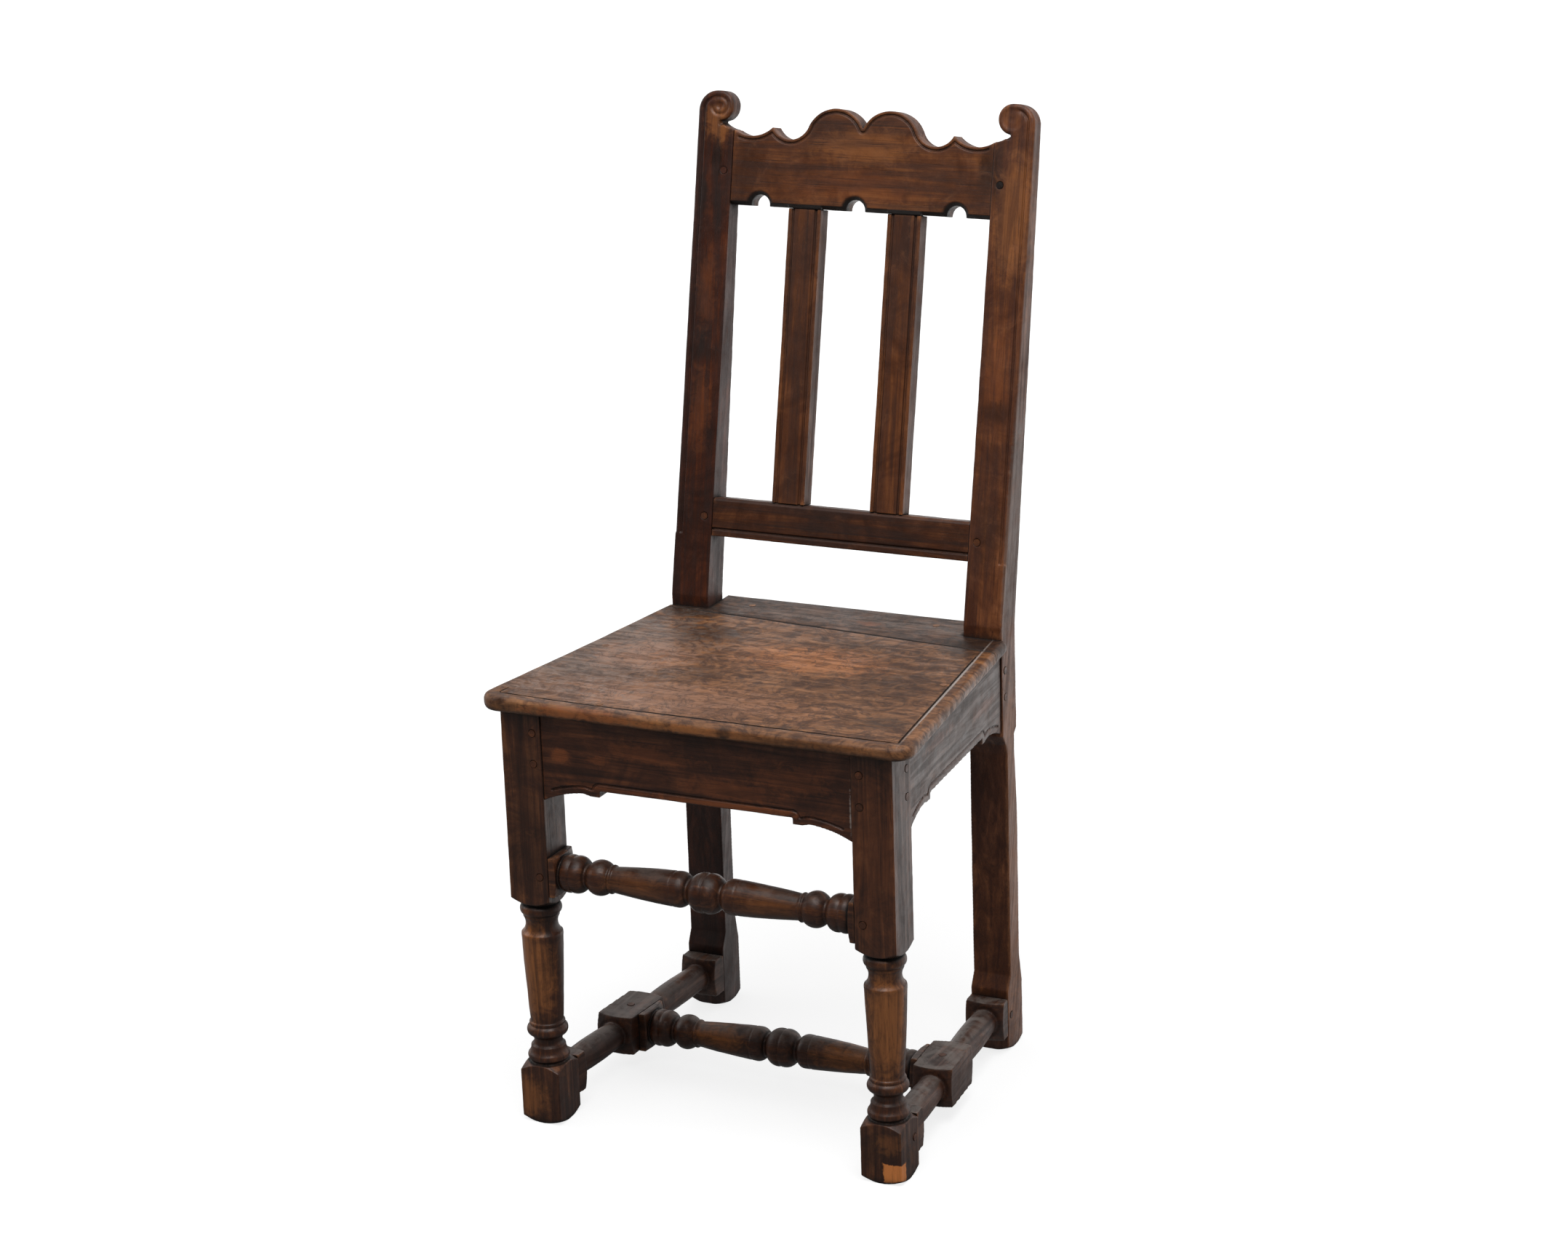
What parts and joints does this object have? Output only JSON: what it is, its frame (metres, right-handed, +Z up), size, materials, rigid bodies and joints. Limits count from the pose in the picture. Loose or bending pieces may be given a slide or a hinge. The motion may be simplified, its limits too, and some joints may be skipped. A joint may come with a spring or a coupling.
{
  "type": "joined high-back side chair",
  "caption": "Pegged high-back side chair with raked posts ending in scrolled ears, shaped crest rail, flat muntins, boarded seat, turned front legs and H stretcher.",
  "frame": {"origin": "middle of the whole chair's footprint box, on the floor", "axes": "+Z up, the sitter faces -Y, +X to the sitter's left, so it is on the right as seen from the front"},
  "size_m": [0.4872, 0.4966, 1.0399],
  "materials": {
    "back_frame": "dark waxed walnut, worn",
    "turned": "dark waxed walnut, rubbed lighter on the turnings",
    "rails": "very dark waxed walnut",
    "seat": "worn walnut boards with dark stains",
    "pegs": "dark end grain"
  },
  "bodies": {
    "root": {"front_leg_left": "turned", "front_leg_right": "turned", "rear_post_left": "back_frame", "rear_post_right": "back_frame", "front_seat_rail": "rails", "side_seat_rail_left": "rails", "side_seat_rail_right": "rails", "back_seat_rail": "rails", "seat_board_front": "seat", "seat_board_back": "seat", "crest_rail": "back_frame", "lower_back_rail": "back_frame", "muntin_left": "back_frame", "muntin_right": "back_frame", "front_stretcher": "turned", "side_stretcher_left": "turned", "side_stretcher_right": "turned", "cross_stretcher": "turned", "crest_pegs": "pegs", "lower_back_rail_pegs": "pegs", "front_seat_rail_pegs": "pegs", "side_seat_rail_pegs": "pegs", "back_seat_rail_pegs": "pegs", "front_stretcher_pegs": "pegs", "side_stretcher_pegs": "pegs", "cross_stretcher_pegs": "pegs", "seat_pegs": "pegs"}
  },
  "joints": []
}
